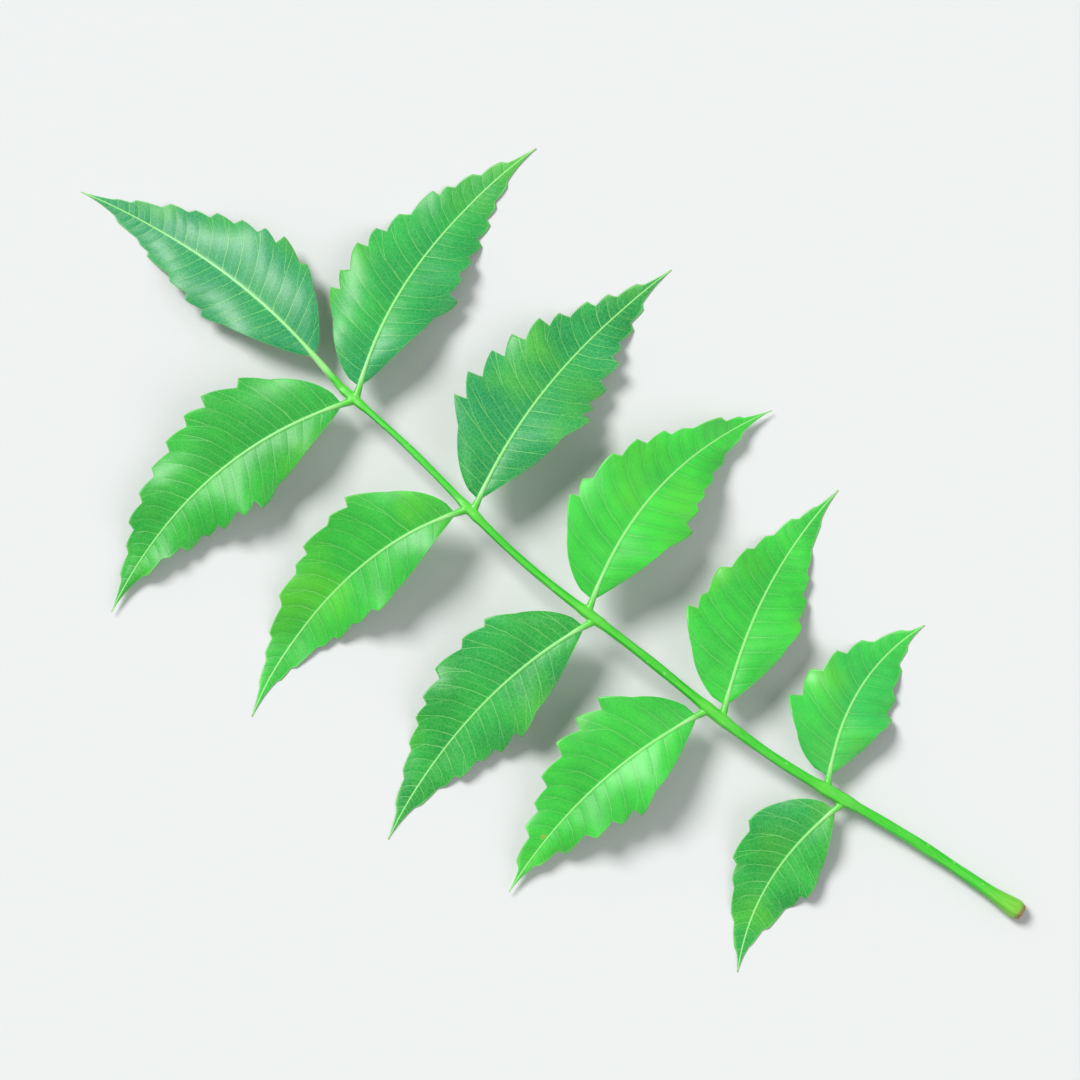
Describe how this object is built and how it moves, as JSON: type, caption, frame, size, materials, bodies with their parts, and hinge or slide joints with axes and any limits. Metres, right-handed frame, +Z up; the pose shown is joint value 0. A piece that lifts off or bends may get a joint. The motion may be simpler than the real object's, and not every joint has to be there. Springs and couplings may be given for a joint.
{
  "type": "neem leaf",
  "caption": "Fresh pinnate neem leaf lying flat: a slender stalk with paired sickle-shaped, saw-edged leaflets and one at its end.",
  "frame": {"origin": "on the surface that the leaf lies on, under the middle of its bounding box", "axes": "+X along the stalk from its cut base towards the leaflet at the leaf's tip, +Y to the left of the stalk seen from above, +Z up, out of the leaf's upper face"},
  "size_m": [0.2694, 0.146, 0.015],
  "materials": {
    "leaf_green": "satin"
  },
  "bodies": {
    "root": {"neem_leaf": "leaf_green"}
  },
  "joints": []
}
